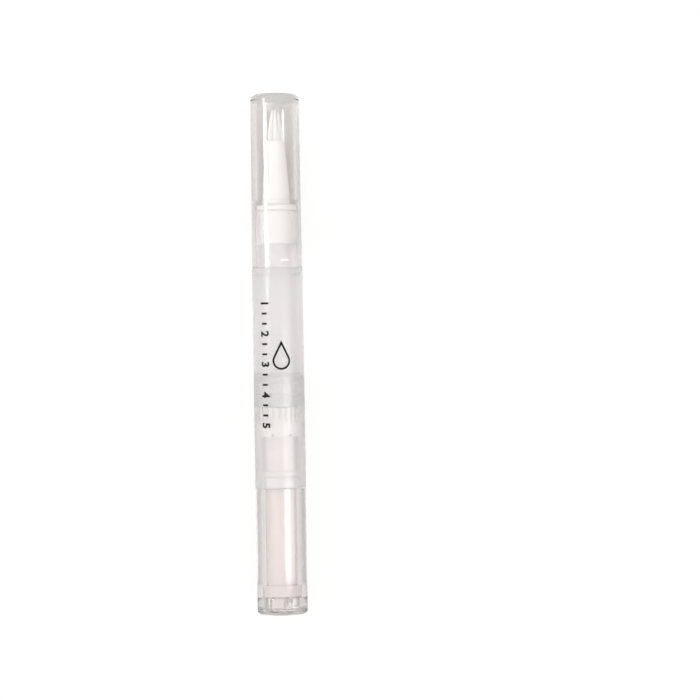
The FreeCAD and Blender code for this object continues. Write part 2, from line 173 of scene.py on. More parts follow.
# Frosted polypropylene: milky, so that pieces close to the wall show clearly and deeper ones blur.
# Only the grip's outside is textured; the bores and the neck are from polished steel, so they are clearer.
# The texture has a grain of about 0.1 mm, drawn at 0.3 mm so that it shows.
FROST_GRAIN = 0.3
FROST_CLOUD = 7.0
FROST_RADII = (5.8, 6.3)
FROST_ROUGHNESS = 0.19
frosted = finish("frosted polypropylene")
spot = node(frosted, "TexCoord", {}).outputs["Object"]
grain = node(frosted, "TexNoise", {"Vector": spot, "Scale": 1000 / FROST_GRAIN, "Detail": 2.0})
cloud = node(frosted, "TexNoise", {"Vector": spot, "Scale": 1000 / FROST_CLOUD, "Detail": 3.0})
from_axis = node(frosted, "Mapping", {
    "Vector": spot, "Location": (0, 0, -AXIS_HEIGHT * MM), "Scale": (1, 0, 1),
})
wall_radius = node(frosted, "VectorMath", {0: from_axis.outputs[0]}, operation="LENGTH")
textured = node(frosted, "MapRange", {
    "Value": wall_radius.outputs["Value"], "From Min": FROST_RADII[0] * MM, "From Max": FROST_RADII[1] * MM,
}).outputs["Result"]
mottle = node(frosted, "MapRange", {"Value": cloud.outputs["Fac"], "To Min": 0.75, "To Max": 1.0})
depth = node(frosted, "Math", {0: textured, 1: mottle.outputs["Result"]}, operation="MULTIPLY")
milk = node(frosted, "Mix", {
    "Factor": depth.outputs[0], 6: tone("#fbf9fa"), 7: tone("#ecebeb"),
}, data_type="RGBA")
polish = node(frosted, "MapRange", {"Value": grain.outputs["Fac"], "To Min": 0.03, "To Max": 0.07})
haze = node(frosted, "Math", {
    0: textured, 1: FROST_ROUGHNESS, 2: polish.outputs["Result"],
}, operation="MULTIPLY_ADD")
pits = node(frosted, "Bump", {"Height": grain.outputs["Fac"], "Strength": 0.002, "Distance": 0.02 * MM})
skin = node(frosted, "BsdfPrincipled", {
    "Base Color": milk.outputs[2], "Roughness": haze.outputs[0], "IOR": 1.49,
    "Transmission Weight": 0.74, "Normal": pits.outputs["Normal"],
})
pass_lamplight(frosted, skin, "#fdfdfd")

shape = turned([
    (FOOT_BORE_RADIUS, BARREL_FOOT, 0), (BARREL_RADIUS, BARREL_FOOT, 0),
    (BARREL_RADIUS, BARREL_TOP, 0.25), (NECK_RADIUS, BARREL_TOP, 0.1),
    (NECK_RADIUS, 91.05, 0), (5.66, 91.5, 0), (NECK_RADIUS, 91.95, 0),  # snap bead
    (NECK_RADIUS, NECK_TOP, 0.3), (NECK_BORE_RADIUS, NECK_TOP, 0.05),
    (NECK_BORE_RADIUS, NECK_BORE_FOOT, 0), (RESERVOIR_RADIUS, RESERVOIR_TOP, 0),
    (RESERVOIR_RADIUS, RESERVOIR_FOOT, 0), (FOOT_BORE_RADIUS, RESERVOIR_FOOT, 0),
    (FOOT_BORE_RADIUS, SPLINE_BAND[1], 0), (FOOT_BORE_RADIUS, SPLINE_BAND[0], 0),
], steps=SPLINES * STEPS_PER_SPLINE)
roots = []
for face in shape.faces:
    _, station, turn = place(face.calc_center_median())
    steps_into_spline = turn / 360 * SPLINES % 1 * STEPS_PER_SPLINE
    if SPLINE_BAND[0] < station < SPLINE_BAND[1] and steps_into_spline < STEPS_PER_SPLINE_TIP:
        roots.append(face)
for corner in raised(shape, roots):
    _, station, turn = place(corner.co)
    corner.co = at(RESERVOIR_RADIUS, station, turn)
bmesh.ops.delete(shape, geom=roots, context="FACES")
bmesh.ops.recalc_face_normals(shape, faces=shape.faces[:])
barrel = piece("barrel_shell", shape, frosted, "barrel_group")
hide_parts("barrel")

# Nut insert: a white polypropylene moulding pushed into the splines, with the thread for the lead screw.
# Its CAD shape stays: web, boss, and a notched skirt with the ratchet teeth of the click.

# White polypropylene: bright, waxy gloss, with the faint flow clouding of a small moulding.
# Two whites are made here: the nut's is a shade duller than the nozzle's.
FLOW_CLOUD = 2.5
whites = []
for name, light, deep in (
    ("white polypropylene", "#f8f5f3", "#efebe9"),
    ("bone-white polypropylene", "#f0ebe9", "#e9e3e1"),
):
    white = finish(name)
    spot = node(white, "TexCoord", {}).outputs["Object"]
    cloud = node(white, "TexNoise", {"Vector": spot, "Scale": 1000 / FLOW_CLOUD, "Detail": 4.0})
    paste = node(white, "Mix", {
        "Factor": cloud.outputs["Fac"], 6: tone(light), 7: tone(deep),
    }, data_type="RGBA")
    gloss = node(white, "MapRange", {"Value": cloud.outputs["Fac"], "To Min": 0.28, "To Max": 0.42})
    swirl = node(white, "Bump", {"Height": cloud.outputs["Fac"], "Strength": 0.05, "Distance": 0.1 * MM})
    skin = node(white, "BsdfPrincipled", {
        "Base Color": paste.outputs[2], "Roughness": gloss.outputs["Result"], "IOR": 1.49,
        "Normal": swirl.outputs["Normal"],
    })
    node(white, "OutputMaterial", {"Surface": skin.outputs[0]})
    whites.append(white)
bright_white, bone_white = whites
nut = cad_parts["nut_insert"]
nut.data.materials.clear()
nut.data.materials.append(bone_white)

# Drive core: a long acetal tube, keyed inside for the screw, that the knob turns.
# It has a thrust collar, a spigot for the click ring, and at its end a flange with four dogs.
CORE_STEPS = 180
CORE_RADIUS = 3.7
CORE_FLANGE_RADIUS = 4.85
CORE_FLANGE_FOOT = 4.53
CORE_FLANGE_TOP = 7.53
CORE_COLLAR_RADIUS = 4.6
CORE_COLLAR_FOOT = 35.25
CORE_COLLAR_TOP = 36.45
DOGS = 4
DOG_PITCH = 360 / DOGS
CORE_DOG_ANGLE = 36.0
CORE_DOG_TURN = -12.5
CORE_DOG_STEPS = 18
CORE_DOG_RADII = (2.7, 4.5)
CORE_DOG_END = 1.7
CORE_DOG_RELIEF_RADIUS = 3.7
CORE_DOG_RELIEF_FOOT = 4.05
KEYWAY_RADIUS = 2.34
KEYWAY_HALF_WIDTH = 1.64
SPIGOT_RADIUS = 3.05
SPIGOT_FOOT = 46.6
SPIGOT_TOP = 49.65
SPIGOT_HALF_WIDTH = 2.7
FLAT_MARGIN = 0.05

# Acetal: hard, glossy and faintly pink, with faint random clouds a shade deeper.
acetal = finish("acetal")
spot = node(acetal, "TexCoord", {}).outputs["Object"]
cloud = node(acetal, "TexNoise", {"Vector": spot, "Scale": 1000 / FLOW_CLOUD, "Detail": 3.0})
paste = node(acetal, "Mix", {
    "Factor": cloud.outputs["Fac"], 6: tone("#e5dcdb"), 7: tone("#dfd5d4"),
}, data_type="RGBA")
gloss = node(acetal, "MapRange", {"Value": cloud.outputs["Fac"], "To Min": 0.22, "To Max": 0.3})
swirl = node(acetal, "Bump", {"Height": cloud.outputs["Fac"], "Strength": 0.04, "Distance": 0.1 * MM})
skin = node(acetal, "BsdfPrincipled", {
    "Base Color": paste.outputs[2], "Roughness": gloss.outputs["Result"], "IOR": 1.48,
    "Normal": swirl.outputs["Normal"],
})
node(acetal, "OutputMaterial", {"Surface": skin.outputs[0]})


def swept(shape, outline, start, angle, steps):
    """Adds a block made by turning an outline of (radius, station) by a part of a turn about the axis."""
    section = shape.faces.new([shape.verts.new(at(radius, station, start)) for radius, station in outline])
    bmesh.ops.spin(
        shape, geom=section.verts[:] + section.edges[:] + [section], cent=at(0, MIDDLE_STATION),
        axis=(0, 1, 0), angle=math.radians(angle), steps=steps,
    )


inner_radius, outer_radius = CORE_DOG_RADII
shape = turned([
    (KEYWAY_RADIUS, CORE_FLANGE_FOOT, 0), (inner_radius, CORE_FLANGE_FOOT, 0),
    (outer_radius, CORE_FLANGE_FOOT, 0), (CORE_FLANGE_RADIUS, CORE_FLANGE_FOOT, 0.15),
    (CORE_FLANGE_RADIUS, CORE_FLANGE_TOP, 0), (CORE_RADIUS, CORE_FLANGE_TOP, 0),
    (CORE_RADIUS, CORE_COLLAR_FOOT, 0), (CORE_COLLAR_RADIUS, CORE_COLLAR_FOOT, 0.1),
    (CORE_COLLAR_RADIUS, CORE_COLLAR_TOP, 0.1), (CORE_RADIUS, CORE_COLLAR_TOP, 0.35),
    (CORE_RADIUS, SPIGOT_FOOT, 0.15), (SPIGOT_RADIUS, SPIGOT_FOOT, 0),
    (SPIGOT_RADIUS, SPIGOT_TOP, 0.1), (KEYWAY_RADIUS, SPIGOT_TOP, 0),
], steps=CORE_STEPS)
for corner in shape.verts:
    radius, station, _ = place(corner.co)
    half_width = None
    if radius < KEYWAY_RADIUS + FLAT_MARGIN:
        half_width = KEYWAY_HALF_WIDTH * MM
    elif radius < SPIGOT_RADIUS + FLAT_MARGIN and station > SPIGOT_FOOT - FLAT_MARGIN:
        half_width = SPIGOT_HALF_WIDTH * MM
    if half_width:
        corner.co.x = max(-half_width, min(half_width, corner.co.x))
for dog in range(DOGS):
    swept(shape, [
        (inner_radius, CORE_DOG_END), (outer_radius, CORE_DOG_END), (outer_radius, CORE_DOG_RELIEF_FOOT),
        (CORE_DOG_RELIEF_RADIUS, CORE_DOG_RELIEF_FOOT), (CORE_DOG_RELIEF_RADIUS, CORE_FLANGE_FOOT),
        (inner_radius, CORE_FLANGE_FOOT),
    ], CORE_DOG_TURN - CORE_DOG_ANGLE / 2 + DOG_PITCH * dog, CORE_DOG_ANGLE, CORE_DOG_STEPS)
bmesh.ops.recalc_face_normals(shape, faces=shape.faces[:])
core = piece("drive_core_tube", shape, acetal, "knob_group")
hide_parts("drive_core")

# Lead screw and click ring: acetal mouldings, the screw inside the core with its button in the piston,
# the ring on the core's spigot with two arms that click on the nut's teeth. Their CAD shapes stay.
for name in ("screw_rod", "click_ring"):
    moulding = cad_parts[name]
    moulding.data.materials.clear()
    moulding.data.materials.append(acetal)

# Retaining bush: a split ring of natural polypropylene, pressed into the barrel's foot below the collar.
# It keeps the core in; the slit, on the underside, lets it spring while it is pressed in.
BUSH_RADII = (3.8, 5.52)
BUSH_STATIONS = (32.42, 35.1)
BUSH_SLIT = 1.2
BUSH_STEPS = 96

# Natural polypropylene: translucent and slightly cloudy.
natural = finish("natural polypropylene")
spot = node(natural, "TexCoord", {}).outputs["Object"]
cloud = node(natural, "TexNoise", {"Vector": spot, "Scale": 1000 / FLOW_CLOUD, "Detail": 3.0})
paste = node(natural, "Mix", {
    "Factor": cloud.outputs["Fac"], 6: tone("#fbfafa"), 7: tone("#f6f4f4"),
}, data_type="RGBA")
gloss = node(natural, "MapRange", {"Value": cloud.outputs["Fac"], "To Min": 0.05, "To Max": 0.1})
skin = node(natural, "BsdfPrincipled", {
    "Base Color": paste.outputs[2], "Roughness": gloss.outputs["Result"], "IOR": 1.49,
    "Transmission Weight": 0.95,
})
pass_lamplight(natural, skin, "#fcfbfb")

shape = bmesh.new()
slit_angle = math.degrees(BUSH_SLIT / (sum(BUSH_RADII) / 2))
swept(shape, [
    (BUSH_RADII[0], BUSH_STATIONS[0]), (BUSH_RADII[1], BUSH_STATIONS[0]),
    (BUSH_RADII[1], BUSH_STATIONS[1]), (BUSH_RADII[0], BUSH_STATIONS[1]),
], 180 + slit_angle / 2, 360 - slit_angle, BUSH_STEPS)
bmesh.ops.recalc_face_normals(shape, faces=shape.faces[:])
bush = piece("retaining_bush_ring", shape, natural, "barrel_group")
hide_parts("retaining_bush")

# Knob sleeve: a thick clear tube over the core, the part that is gripped and twisted.
# It is moulded in styrene-acrylonitrile, with a wider socket at its end for the core's flange.
SLEEVE_RADII = (4.05, 6.5)
SLEEVE_FOOT = 1.48
SLEEVE_TOP = 32.25
SOCKET_RADIUS = 5.2
SOCKET_TOP = 7.55

# Clear styrene-acrylonitrile: water-clear with a faint warm tint, polished, with slight moulding waves,
# hairline scratches and a few dull smudges. The waves are about 5 mm long and the scratches 0.15 mm apart.
WAVE = 5.0
SCRATCH = 0.15
SCRATCH_DRAW = 0.03  # draws the scratches out along the pen
SMUDGE = 9.0
clear = finish("clear styrene-acrylonitrile")
spot = node(clear, "TexCoord", {}).outputs["Object"]
waves = node(clear, "TexNoise", {"Vector": spot, "Scale": 1000 / WAVE, "Detail": 1.0})
drawn = node(clear, "Mapping", {"Vector": spot, "Scale": (1.0, SCRATCH_DRAW, 1.0)})
scratches = node(clear, "TexNoise", {"Vector": drawn.outputs[0], "Scale": 1000 / SCRATCH, "Detail": 2.0})
smudges = node(clear, "TexNoise", {"Vector": spot, "Scale": 1000 / SMUDGE, "Detail": 4.0})
polish = node(clear, "MapRange", {
    "Value": smudges.outputs["Fac"], "From Min": 0.45, "From Max": 0.75, "To Min": 0.02, "To Max": 0.07,
})
wavy = node(clear, "Bump", {"Height": waves.outputs["Fac"], "Strength": 0.1, "Distance": 0.08 * MM})
worn = node(clear, "Bump", {
    "Height": scratches.outputs["Fac"], "Strength": 0.02, "Distance": 0.02 * MM,
    "Normal": wavy.outputs["Normal"],
})
tint = node(clear, "Mix", {
    "Factor": smudges.outputs["Fac"], 6: tone("#fbfafa"), 7: tone("#f8f7f6"),
}, data_type="RGBA")
skin = node(clear, "BsdfPrincipled", {
    "Base Color": tint.outputs[2], "Roughness": polish.outputs["Result"], "IOR": 1.57,
    "Transmission Weight": 1.0, "Normal": worn.outputs["Normal"],
})
pass_lamplight(clear, skin, "#fdfdfd")

inner_radius, outer_radius = SLEEVE_RADII
shape = turned([
    (SOCKET_RADIUS, SLEEVE_FOOT, 0), (outer_radius, SLEEVE_FOOT, 0.15), (outer_radius, SLEEVE_TOP, 0),
    (inner_radius, SLEEVE_TOP, 0), (inner_radius, SOCKET_TOP, 0), (SOCKET_RADIUS, SOCKET_TOP, 0),
])
sleeve = piece("knob_sleeve_tube", shape, clear, "knob_group")
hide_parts("knob_sleeve")

# End plug: a clear disc bonded into the sleeve's end; a thin rim centres it, and its four dogs mesh with
# the core's. The small dimple in its middle is where the mould's gate was cut off.
PLUG_RADIUS = 6.48
PLUG_FACE = 1.5
PLUG_RIM_RADII = (4.73, 5.22)
PLUG_DOG_ANGLE = 42.0
PLUG_DOG_TURN = 32.5
PLUG_DOG_RADII = (2.7, 4.6)
PLUG_DOG_END = 4.25
GATE_RADIUS = 0.95
GATE_DEPTH = 0.45
FACE_MARGIN = 0.01
inner_radius, outer_radius = PLUG_DOG_RADII
shape = turned([
    (0, GATE_DEPTH, 0), (GATE_RADIUS, GATE_DEPTH, 0.1), (GATE_RADIUS, 0, 0.1),
    (PLUG_RADIUS, 0, 0.6), (PLUG_RADIUS, PLUG_FACE, 0.12),
    (PLUG_RIM_RADII[1], PLUG_FACE, 0), (PLUG_RIM_RADII[1], PLUG_DOG_END, 0.08),
    (PLUG_RIM_RADII[0], PLUG_DOG_END, 0.08), (PLUG_RIM_RADII[0], PLUG_FACE, 0),
    (outer_radius, PLUG_FACE, 0), (inner_radius, PLUG_FACE, 0), (0, PLUG_FACE, 0),
], steps=CORE_STEPS)
roots = []
for face in shape.faces:
    radius, station, turn = place(face.calc_center_median())
    in_ring = inner_radius < radius < outer_radius and abs(station - PLUG_FACE) < FACE_MARGIN
    off_middle = (turn - PLUG_DOG_TURN + DOG_PITCH / 2) % DOG_PITCH - DOG_PITCH / 2
    if in_ring and abs(off_middle) < PLUG_DOG_ANGLE / 2:
        roots.append(face)
bmesh.ops.translate(shape, verts=raised(shape, roots), vec=(0, (PLUG_DOG_END - PLUG_FACE) * MM, 0))
bmesh.ops.delete(shape, geom=roots, context="FACES")
bmesh.ops.recalc_face_normals(shape, faces=shape.faces[:])
plug = piece("end_plug_disc", shape, clear, "knob_group")
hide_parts("end_plug")

# Piston: one soft polyethylene moulding, snapped on the screw's button from below.
# Its two lips wipe the reservoir's wall, and its skirt reaches down to the nut.
PISTON_TOP = 61.5
PISTON_CROWN_RADIUS = 4.35
PISTON_LIP_RADIUS = 5.2
PISTON_LIP_TOP = 60.65
PISTON_STEPS = 96

# Low-density polyethylene: dull, waxy and a little translucent.
waxy = finish("low-density polyethylene")
spot = node(waxy, "TexCoord", {}).outputs["Object"]
cloud = node(waxy, "TexNoise", {"Vector": spot, "Scale": 1000 / FLOW_CLOUD, "Detail": 3.0})
paste = node(waxy, "Mix", {
    "Factor": cloud.outputs["Fac"], 6: tone("#f6f4f4"), 7: tone("#f0eeed"),
}, data_type="RGBA")
gloss = node(waxy, "MapRange", {"Value": cloud.outputs["Fac"], "To Min": 0.4, "To Max": 0.55})
skin = node(waxy, "BsdfPrincipled", {
    "Base Color": paste.outputs[2], "Roughness": gloss.outputs["Result"], "IOR": 1.51,
    "Transmission Weight": 0.42,
})
node(waxy, "OutputMaterial", {"Surface": skin.outputs[0]})

shape = turned([
    (0, PISTON_TOP, 0), (PISTON_CROWN_RADIUS, PISTON_TOP, 0.2),
    (PISTON_LIP_RADIUS, PISTON_LIP_TOP, 0.1), (PISTON_LIP_RADIUS, 59.35, 0.1),
    (4.85, 59.0, 0), (4.85, 56.55, 0),  # waist between the lips
    (PISTON_LIP_RADIUS, 56.2, 0.1), (PISTON_LIP_RADIUS, 53.2, 0.1),
    (4.5, 53.2, 0), (4.5, 57.5, 0.2), (3.0, 57.5, 0.2), (3.0, 54.9, 0.1),  # hollow inside the skirt
    (1.3, 54.9, 0), (1.3, 56.15, 0), (1.8, 56.15, 0), (1.8, 57.85, 0), (0, 57.85, 0),  # snap socket
], steps=PISTON_STEPS)
piston = piece("piston_seal", shape, waxy, "piston_group")
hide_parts("piston")

# Oil: the charge between the piston and the nozzle's plug, clear and almost colourless.
# It wets the wall and the piston's lips, so its edges run a little way into them; the piston pushes it on.
OIL_WETTING = 0.03
OIL_BITE = 0.02
OIL_FILM_FOOT = 53.3
OIL_SHOULDER = RESERVOIR_TOP
OIL_TOP = 94.86

# Nail oil: a clear liquid with almost the wall's own bending of light, which hides the bore's edge.
oil = finish("nail oil")
spot = node(oil, "TexCoord", {}).outputs["Object"]
streaks = node(oil, "TexNoise", {"Vector": spot, "Scale": 1000 / SMUDGE, "Detail": 1.0})
tint = node(oil, "Mix", {
    "Factor": streaks.outputs["Fac"], 6: tone("#fdfbfc"), 7: tone("#faf7f8"),
}, data_type="RGBA")
liquid = node(oil, "BsdfPrincipled", {
    "Base Color": tint.outputs[2], "Roughness": 0.0, "IOR": 1.47, "Transmission Weight": 1.0,
})
pass_lamplight(oil, liquid, "#fcfbfc")

wet_radius = RESERVOIR_RADIUS + OIL_WETTING
wet_neck_radius = NECK_BORE_RADIUS + OIL_WETTING
lip_radius = PISTON_LIP_RADIUS - OIL_BITE
shape = turned([
    (0, PISTON_TOP - OIL_BITE, 0), (PISTON_CROWN_RADIUS - OIL_BITE, PISTON_TOP - OIL_BITE, 0),
    (lip_radius, PISTON_LIP_TOP - OIL_BITE, 0), (lip_radius, OIL_FILM_FOOT, 0),
    (wet_radius, OIL_FILM_FOOT, 0), (wet_radius, OIL_SHOULDER, 0), (0, OIL_SHOULDER, 0),
])
charge = piece("oil_charge", shape, oil, "barrel_group")
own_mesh(charge)
shape = turned([
    (0, OIL_SHOULDER - OIL_WETTING, 0), (wet_radius, OIL_SHOULDER - OIL_WETTING, 0),
    (wet_radius, OIL_SHOULDER, 0), (wet_neck_radius, NECK_BORE_FOOT, 0),
    (wet_neck_radius, OIL_TOP, 0), (0, OIL_TOP, 0),
])
piece("oil_in_neck", shape, oil, "barrel_group")

# Feed tube: a fine tube of natural polypropylene on a flange that clamps the root of the brush.
# It carries oil through the cone into the bristles. Its CAD shape stays.
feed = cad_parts["feed_tube"]
feed.data.materials.clear()
feed.data.materials.append(natural)

# Nozzle: one white polypropylene moulding, pressed into the neck by its plug and two seal beads.
# Its collar seats on the neck, and its long cone holds the brush.
NOZZLE_PLUG_RADIUS = 4.46
NOZZLE_BEAD_RADIUS = 4.495
shape = turned([
    (3.3, 94.9, 0.1), (NOZZLE_PLUG_RADIUS, 94.9, 0.4),
    (NOZZLE_PLUG_RADIUS, 97.8, 0), (NOZZLE_BEAD_RADIUS, 98.2, 0), (NOZZLE_PLUG_RADIUS, 98.6, 0),
    (NOZZLE_PLUG_RADIUS, 100.4, 0), (NOZZLE_BEAD_RADIUS, 100.8, 0), (NOZZLE_PLUG_RADIUS, 101.2, 0),
    (NOZZLE_PLUG_RADIUS, 103.42, 0), (5.1, 103.42, 0.35), (5.1, 105.0, 0.3),  # collar
    (3.7, 105.0, 0.4), (2.35, 121.5, 0.12), (1.97, 121.5, 0.06),  # cone and its lip
    (1.97, 112.4, 0), (2.45, 112.4, 0), (2.45, 106.0, 0), (3.3, 106.0, 0),  # bore for brush and tube
])
nozzle = piece("nozzle_cone", shape, bright_white, "barrel_group")
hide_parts("nozzle")

# Brush: a round tuft of nylon bristles, bonded in the cone by its foot.
# The bristles cling together in bundles and taper to a soft domed tip.
BRISTLES = 210
BRISTLE_RADIUS = 0.075
BRISTLE_TAPER = 0.35
BRISTLE_SIDES = 6
BRISTLE_KNOTS = 6
BRISTLE_FOOT = 119.0
BRISTLE_TIP = 129.65
BRISTLE_HELD = 0.24  # the share of a bristle that the cone keeps straight
BRISTLE_BEND = 1.3
TUFT_RADIUS = 1.88
TUFT_TIP_RADIUS = 1.4
TUFT_HOLE = 0.68
TUFT_SPLAY = 0.1
SPLAY_RATE = 1.6
DOME_DROP = 1.1
STRAY = 0.05
RAGGED = 0.4
GOLDEN_ANGLE = 137.508
BUNDLES = 9
BUNDLE_REACH = 0.78
BUNDLE_SCATTER = 0.25
BUNDLE_SHORTNESS = 0.9
BUNDLE_CLING = 0.6
BRISTLE_SEED = 11

# Nylon filament: white, silky, slightly see-through, with each bristle a shade apart.
# The shades change every 0.3 mm across the tuft and twenty times slower along it.
SHADE_WIDTH = 0.3
SHADE_DRAW = 0.05
nylon = finish("nylon filament")
spot = node(nylon, "TexCoord", {}).outputs["Object"]
strand = node(nylon, "Mapping", {"Vector": spot, "Scale": (1.0, SHADE_DRAW, 1.0)})
shade = node(nylon, "TexNoise", {"Vector": strand.outputs[0], "Scale": 1000 / SHADE_WIDTH, "Detail": 1.0})
paste = node(nylon, "Mix", {
    "Factor": shade.outputs["Fac"], 6: tone("#fdfcfb"), 7: tone("#f4f2f0"),
}, data_type="RGBA")
gloss = node(nylon, "MapRange", {"Value": shade.outputs["Fac"], "To Min": 0.25, "To Max": 0.45})
skin = node(nylon, "BsdfPrincipled", {
    "Base Color": paste.outputs[2], "Roughness": gloss.outputs["Result"], "IOR": 1.53,
})
pass_lamplight(nylon, skin, "#fafafa")

chance = random.Random(BRISTLE_SEED)
bundles = [(Vector((0, 0)), 0.0)]
for number in range(BUNDLES - 1):
    scatter = chance.uniform(-BUNDLE_SCATTER, BUNDLE_SCATTER)
    angle = math.tau * (number + scatter) / (BUNDLES - 1)
    heart = Vector((math.sin(angle), math.cos(angle))) * BUNDLE_REACH
    bundles.append((heart, chance.uniform(0, BUNDLE_SHORTNESS)))
shape = bmesh.new()
for number in range(BRISTLES):
    reach = math.sqrt((number + 0.5) / BRISTLES)
    foot_radius = TUFT_HOLE + (TUFT_RADIUS - TUFT_HOLE) * reach
    angle = math.radians(number * GOLDEN_ANGLE)
    own = Vector((math.sin(angle), math.cos(angle))) * reach
    heart, shortness = min(bundles, key=lambda bundle: (bundle[0] - own).length)
    tip = own.lerp(heart, BUNDLE_CLING) * TUFT_TIP_RADIUS
    tip += Vector((chance.uniform(-STRAY, STRAY), chance.uniform(-STRAY, STRAY)))
    tip_station = BRISTLE_TIP - DOME_DROP * reach ** 3 - shortness - chance.uniform(0, RAGGED)
    last_edges = None
    for knot in range(BRISTLE_KNOTS):
        along = knot / (BRISTLE_KNOTS - 1)
        free = max(0.0, along - BRISTLE_HELD) / (1 - BRISTLE_HELD)
        splay = 1 + TUFT_SPLAY * math.sin(math.pi * min(1.0, free * SPLAY_RATE))
        off_axis = (own.normalized() * foot_radius * splay).lerp(tip, free ** BRISTLE_BEND)
        station = BRISTLE_FOOT + (tip_station - BRISTLE_FOOT) * along
        middle = at(off_axis.length, station, math.degrees(math.atan2(off_axis.x, off_axis.y)))
        ring = bmesh.ops.create_circle(
            shape, segments=BRISTLE_SIDES, radius=BRISTLE_RADIUS * (1 - BRISTLE_TAPER * free ** 3) * MM,
            matrix=Matrix.Translation(middle) @ Matrix.Rotation(-math.pi / 2, 4, "X"),
        )["verts"]
        edges = list({edge for corner in ring for edge in corner.link_edges})
        if last_edges:
            bmesh.ops.bridge_loops(shape, edges=last_edges + edges)
        else:
            shape.faces.new(ring)
        last_edges = edges
    shape.faces.new(ring)
bmesh.ops.recalc_face_normals(shape, faces=shape.faces[:])
tuft = piece("brush_bristles", shape, nylon, "barrel_group")
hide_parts("bristle_tuft")

# Cap: one clear moulding that slides over the nozzle and snaps on the neck's bead.
# Its wall is thick above a step that clears the collar, and its end is solid.
CAP_END = 133.5
CAP_MOUTH = 88.9
CAP_STEP = 106.2
CAP_CAVITY_END = 131.0
CAP_MOUTH_RADIUS = 5.72
CAP_CAVITY_RADIUS = 4.85
shape = turned([
    (0, CAP_END, 0), (6.28, CAP_END, 1.5), (6.44, CAP_MOUTH, 0.04), (CAP_MOUTH_RADIUS, CAP_MOUTH, 0.1),
    (CAP_MOUTH_RADIUS, 90.6, 0), (5.8, 91.5, 0), (CAP_MOUTH_RADIUS, 92.4, 0),  # groove for the bead
    (CAP_MOUTH_RADIUS, CAP_STEP, 0), (CAP_CAVITY_RADIUS, CAP_STEP, 0),
    (CAP_CAVITY_RADIUS, CAP_CAVITY_END, 0), (0, CAP_CAVITY_END, 0),
])
cap = piece("cap_shell", shape, clear, "cap_group")
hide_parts("cap")

# Print: plain black fill-level ticks with numbers, and a plain drop, screen-printed on the barrel.
# The ink film is drawn 0.012 mm thick, bent round the barrel.
INK_LIFT = 0.002
INK_THICKNESS = 0.012
INK_STEP = 0.25
INK_WELD_GAP = 0.001
SCALE_TURN = -31.0
SCALE_STATIONS = (48.5, 79.7)
SCALE_MARKS = 13
MARKS_PER_NUMBER = 3
NUMBER_HEIGHT = 2.3
NUMBER_BOLDNESS = 0.035
TICK_LENGTH = 1.5
TICK_WIDTH = 0.5
DROP_TURN = 8.0
DROP_STATION = 65.0
DROP_RADIUS = 2.3
DROP_TIP = 5.2
DROP_LINE = 0.5
DROP_STEPS = 64

# Screen-print ink: dense satin black with a film that is slightly uneven every 0.4 mm or so.
INK_GRAIN = 0.4
ink = finish("black screen-print ink")
spot = node(ink, "TexCoord", {}).outputs["Object"]
film = node(ink, "TexNoise", {"Vector": spot, "Scale": 1000 / INK_GRAIN, "Detail": 3.0})
pigment = node(ink, "Mix", {
    "Factor": film.outputs["Fac"], 6: tone("#070606"), 7: tone("#0f0e0e"),
}, data_type="RGBA")
gloss = node(ink, "MapRange", {"Value": film.outputs["Fac"], "To Min": 0.35, "To Max": 0.55})
skin = node(ink, "BsdfPrincipled", {
    "Base Color": pigment.outputs[2], "Roughness": gloss.outputs["Result"], "Specular IOR Level": 0.12,
})
node(ink, "OutputMaterial", {"Surface": skin.outputs[0]})


def printed(name, flat):
    """Bends flat ink, drawn in millimetres as (across, station), round the barrel and gives it thickness."""
    reach = [corner.co.x for corner in flat.verts]
    for number in range(math.ceil(min(reach) / INK_STEP), math.ceil(max(reach) / INK_STEP)):
        bmesh.ops.bisect_plane(
            flat, geom=flat.verts[:] + flat.edges[:] + flat.faces[:],
            plane_co=(number * INK_STEP, 0, 0), plane_no=(1, 0, 0),
        )
    bmesh.ops.translate(flat, verts=raised(flat, flat.faces[:]), vec=(0, 0, INK_THICKNESS))
    for corner in flat.verts:
        turn = math.degrees(corner.co.x / BARREL_RADIUS)
        corner.co = at(BARREL_RADIUS + INK_LIFT + corner.co.z, corner.co.y, turn)
    bmesh.ops.recalc_face_normals(flat, faces=flat.faces[:])
    piece(name, flat, ink, "barrel_group")


ticks = bmesh.new()
numbers = bmesh.new()
scale_across = math.radians(SCALE_TURN) * BARREL_RADIUS
first, last = SCALE_STATIONS
for mark in range(SCALE_MARKS):
    station = last + (first - last) * mark / (SCALE_MARKS - 1)
    here = Matrix.Translation((scale_across, station, 0))
    if mark % MARKS_PER_NUMBER:
        size = Matrix.Diagonal((TICK_LENGTH / 2, TICK_WIDTH / 2, 1, 1))
        bmesh.ops.create_grid(ticks, x_segments=1, y_segments=1, size=1, matrix=here @ size)
        continue
    words = bpy.data.curves.new("scale number", "FONT")
    words.body = str(mark // MARKS_PER_NUMBER + 1)
    words.align_x = "CENTER"
    words.align_y = "CENTER"
    words.offset = NUMBER_BOLDNESS
    writer = bpy.data.objects.new("scale number", words)
    scene.collection.objects.link(writer)
    figure = bpy.data.meshes.new_from_object(writer)
    bpy.data.objects.remove(writer)
    heights = [corner.co.y for corner in figure.vertices]
    size = Matrix.Scale(NUMBER_HEIGHT / (max(heights) - min(heights)), 4)
    figure.transform(here @ Matrix.Rotation(-math.pi / 2, 4, "Z") @ size)
    numbers.from_mesh(figure)
    bpy.data.meshes.remove(figure)
bmesh.ops.remove_doubles(numbers, verts=numbers.verts[:], dist=INK_WELD_GAP)
printed("fill_scale_ticks", ticks)
printed("fill_scale_numbers", numbers)

